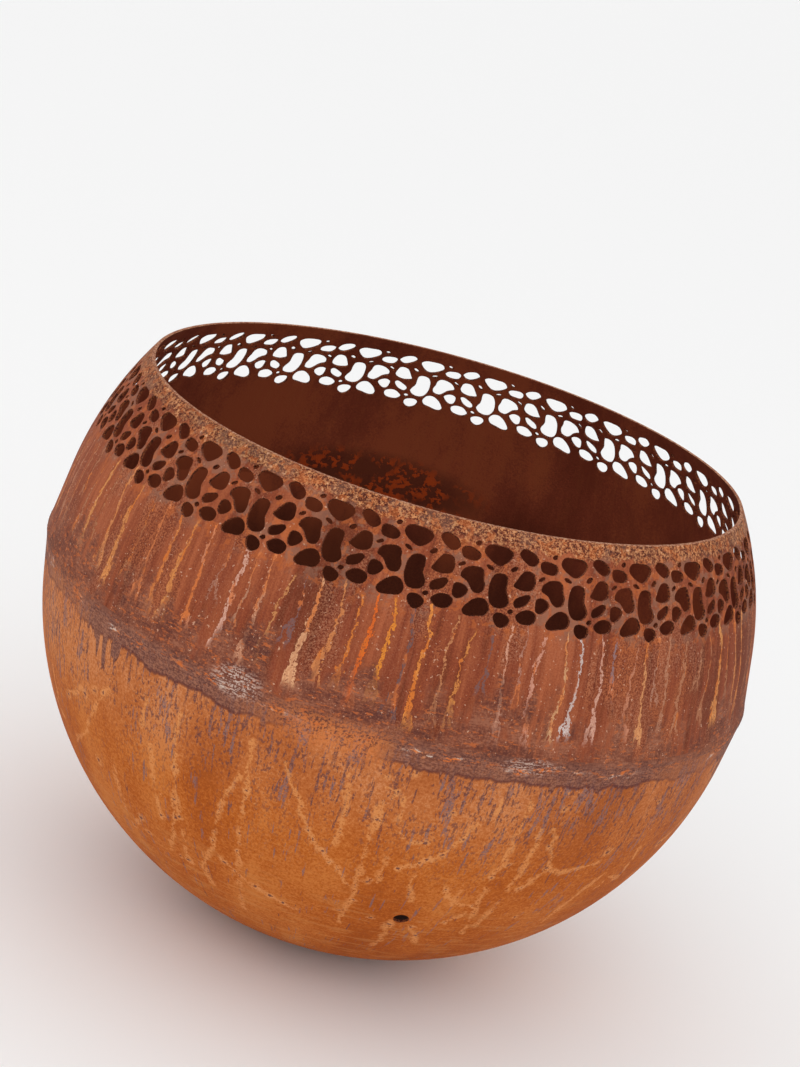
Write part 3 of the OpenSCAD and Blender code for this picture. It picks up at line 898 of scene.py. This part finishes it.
def pebble_band():
    profile, kinds = band_shell()
    mats = SHEET_MATERIALS["pebble_band"]
    piece = turned("band_shell", profile, kinds, mats, True)
    loops = [wavered(rounded(without_straights(loop), OUTLINE_STEPS))
             for loop in outline_loops("pebble_band", BAND_R)]
    points, faces = cutter(loops, BAND_R, BAND_IN_R)
    cut(piece, new_piece("band_cutter", points, faces, mats, [2] * len(faces)))
    hand_in(piece, "pebble_band")


def lower_bowl():
    profile, kinds = bowl_shell()
    mats = SHEET_MATERIALS["lower_bowl"]
    piece = turned("bowl_shell", profile, kinds, mats, False)
    loops = []
    for k in range(VENTS):
        turn = VENT_TURN + k * 2 * math.pi / VENTS
        out = np.array([math.cos(VENT_DIP) * math.sin(turn), -math.cos(VENT_DIP) * math.cos(turn),
                        -math.sin(VENT_DIP)])
        east = np.array([math.cos(turn), math.sin(turn), 0])
        north = np.cross(out, east)
        step = np.arange(48) * 2 * math.pi / 48
        loops.append(BOWL_R * out + VENT_R * (np.cos(step)[:, None] * east + np.sin(step)[:, None] * north))
    points, faces = cutter(loops, BOWL_R, BOWL_R - SHEET)
    cut(piece, new_piece("bowl_cutter", points, faces, mats, [2] * len(faces)))
    hand_in(piece, "lower_bowl")


def seam_weld():
    """The weld bead: ground nearly flush, still uneven from its ripples."""
    across = np.linspace(-1, 1, 9)
    uneven = np.zeros((SEGMENTS, len(across)))
    for waves in (31, 74, 173, 240):
        for k in range(len(across)):
            uneven[:, k] += np.sin(waves * TURNS + rng.uniform(0, 2 * math.pi) + 0.6 * k) / 4
    crown = np.sqrt(np.clip(1 - across ** 2, 0, 1))
    proud = BEAD_PROUD * crown[None, :] * (0.62 + 0.36 * uneven)
    skirt = np.where(across < 0, math.tan(math.acos(BOWL_R / SEAM_R)), math.tan(math.acos(BAND_R / SEAM_R)))
    height = across * BEAD_H / 2
    radius = SEAM_R - np.abs(height) * skirt
    radius = radius[None, :] + proud
    rows = len(across) + 1
    points = np.zeros((SEGMENTS, rows, 3))
    points[:, :-1] = round_globe(radius, TURNS[:, None], height)
    points[:, -1] = round_globe(SEAM_R - BEAD_DEPTH, TURNS, 0.0)
    faces = grid_faces(rows, True)
    piece = new_piece("weld_bead", points.reshape(-1, 3), faces, ["weld_rust"], smooth=60)
    hand_in(piece, "seam_weld")


class Welds:
    """Short weld beads, gathered into one piece."""

    SIDES = 8

    def __init__(self):
        self.points, self.faces = [], []

    def run(self, line, thick, loop=False):
        """Lays a rippled bead along a line of points."""
        line = np.array(line)
        onward = np.roll(line, -1, 0) - np.roll(line, 1, 0)
        if not loop:
            onward[0], onward[-1] = line[1] - line[0], line[-1] - line[-2]
        onward /= np.linalg.norm(onward, axis=1)[:, None]
        aside = np.cross(onward, (0.31, 0.52, 0.79))
        aside /= np.linalg.norm(aside, axis=1)[:, None]
        up = np.cross(onward, aside)
        girth = thick * (1 + 0.14 * np.cos(np.arange(len(line)) * 2.6) + rng.normal(0, 0.05, len(line)))
        if not loop:
            girth[0] = girth[-1] = 0.45 * thick
        base = len(self.points)
        for place, a, b, radius in zip(line, aside, up, girth):
            for step in np.arange(self.SIDES) * 2 * math.pi / self.SIDES:
                self.points.append(place + radius * (math.cos(step) * a + math.sin(step) * b))
        sides, rows = self.SIDES, len(line)
        for i in range(rows if loop else rows - 1):
            low, high = base + i * sides, base + (i + 1) % rows * sides
            for k in range(sides):
                m = (k + 1) % sides
                self.faces.append((low + k, low + m, high + m, high + k))
        if not loop:
            self.faces.append(tuple(base + k for k in reversed(range(sides))))
            self.faces.append(tuple(base + (rows - 1) * sides + k for k in range(sides)))

    def hand_in(self, name, material, slot, body):
        piece = new_piece(name, self.points, self.faces, [material], smooth=60)
        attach(piece, body)


def straight(a, b, count):
    return np.array(a) + (np.array(b) - np.array(a)) * np.linspace(0, 1, count)[:, None]


def grate_welds():
    """Beads where bars cross the bearers, and where bars, bearers and handle legs meet the hoop."""
    welds = Welds()
    hoop = node_vertices("grate_hoop")
    hoop_in_r = np.linalg.norm(hoop[:, :2], axis=1).min()
    hoop_lo, hoop_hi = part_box("grate_hoop")
    bearers = [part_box("grate_bearer_left"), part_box("grate_bearer_right")]
    bars = [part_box(name) for name in nodes if name.startswith("grate_bar_")]
    for lo, hi in bars:
        y, z, radius = (lo.y + hi.y) / 2, (lo.z + hi.z) / 2, (hi.z - lo.z) / 2
        for b_lo, b_hi in bearers:
            if abs(y) + radius < b_hi.y and b_hi.x < hi.x:
                for side in (-1, 1):
                    beside = (y + side * 0.66 * radius, b_hi.z + 0.16 * radius)
                    welds.run(straight((b_lo.x - MM, *beside), (b_hi.x + MM, *beside), 8), 1.5 * MM)
        for end in (-1, 1):
            turn = np.arange(20) * 2 * math.pi / 20
            across = y + (radius + 0.2 * MM) * np.cos(turn)
            reach = end * (np.sqrt(hoop_in_r ** 2 - across ** 2) - 0.5 * MM)
            welds.run(np.stack([reach, across, z + (radius + 0.2 * MM) * np.sin(turn)], 1), 1.3 * MM, True)
    for b_lo, b_hi in bearers:
        for x in (b_lo.x - 0.4 * MM, b_hi.x + 0.4 * MM):
            for end in (-1, 1):
                y = end * (math.sqrt(hoop_in_r ** 2 - x ** 2) - 0.6 * MM)
                welds.run(straight((x, y, b_lo.z + 1.6 * MM), (x, y, b_hi.z - MM), 9), 1.5 * MM)
    for side, name in ((-1, "grate_handle_left"), (1, "grate_handle_right")):
        lo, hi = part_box(name)
        radius = (hi.x - lo.x) / 2
        for end in (-1, 1):
            leg = np.array([(lo.x + hi.x) / 2, end * (hi.y - radius)])
            out = leg / np.linalg.norm(leg)
            beside = np.array([-out[1], out[0]])
            for hand in (-1, 1):
                foot = leg + 0.62 * radius * out + hand * 0.72 * radius * beside
                low, high = max(lo.z, hoop_lo.z) + 2 * MM, hoop_hi.z - 2 * MM
                welds.run(straight((*foot, low), (*foot, high), 14), 1.5 * MM)
    welds.hand_in("grate_welds", "grate_iron", "grate_iron", "grate")


def bowl_welds():
    """Beads round the standing ring and along the lugs."""
    welds = Welds()
    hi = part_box("base_ring")[1]
    reach = hi.x + 0.7 * MM
    for k in range(RING_STITCHES):
        turn = np.radians(90 + 360 / RING_STITCHES * k + np.linspace(-16, 16, 26))
        welds.run(round_globe(reach, turn, hi.z - 0.9 * MM - CENTRE[2]), 1.6 * MM)
    for i in range(VENTS):
        middle = VENT_TURN + (i + 0.5) * 2 * math.pi / VENTS
        lo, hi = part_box("grate_lug_%d" % (i + 1))
        for z in (lo.z - 0.6 * MM, hi.z + 0.6 * MM):
            reach = math.sqrt((BOWL_R - SHEET) ** 2 - (z - CENTRE[2]) ** 2) - 0.9 * MM
            turn = middle + np.linspace(-0.5, 0.5, 18) * LUG_W / reach
            welds.run(round_globe(reach, turn, z - CENTRE[2]), 1.7 * MM)
    welds.hand_in("bowl_welds", "inner_rust", "lug_rust", "bowl")


pebble_band()
lower_bowl()
seam_weld()
grate_welds()
bowl_welds()

for name, node in nodes.items():
    kind = "base_rust" if name == "base_ring" else "inner_rust" if "lug" in name else "grate_iron"
    for s in node.material_slots:
        s.material = materials[kind]


# ---- stage
FLOOR_REACH = 60.0         # from the middle to each side of the floor
WHITE = (1, 1, 1, 1)
FLOOR_WHITE = (0.9, 0.9, 0.9, 1)


def stage():
    reach = FLOOR_REACH
    mesh = bpy.data.meshes.new("floor")
    mesh.from_pydata([(-reach, -reach, 0), (reach, -reach, 0), (reach, reach, 0), (-reach, reach, 0)], [],
                     [(0, 1, 2, 3)])
    floor = bpy.data.objects.new("floor", mesh)
    bpy.context.scene.collection.objects.link(floor)
    g = Graph("floor")
    shader = g.add("ShaderNodeBsdfPrincipled")
    shader.inputs["Base Color"].default_value = FLOOR_WHITE
    shader.inputs["Roughness"].default_value = 0.9
    output = g.add("ShaderNodeOutputMaterial")
    g.tree.links.new(shader.outputs[0], output.inputs[0])
    mesh.materials.append(g.material)
    world = bpy.data.worlds.new("studio")
    world.use_nodes = True
    background = world.node_tree.nodes["Background"]
    background.inputs["Color"].default_value = WHITE
    background.inputs["Strength"].default_value = 1.0
    bpy.context.scene.world = world
    bpy.context.scene.view_settings.view_transform = "Standard"


def softbox(name, place, size, power):
    """A rectangular lamp aimed at the globe's centre, with its power in watts."""
    data = bpy.data.lights.new(name, "AREA")
    data.shape = "RECTANGLE"
    data.size, data.size_y = size
    data.energy = power
    lamp = bpy.data.objects.new(name, data)
    lamp.location = place
    aim = Vector(CENTRE.tolist()) - Vector(place)
    lamp.rotation_euler = aim.to_track_quat("-Z", "Y").to_euler()
    bpy.context.scene.collection.objects.link(lamp)


stage()
softbox("key", (-0.4, -3.4, 2.3), (2.4, 2.4), 20)
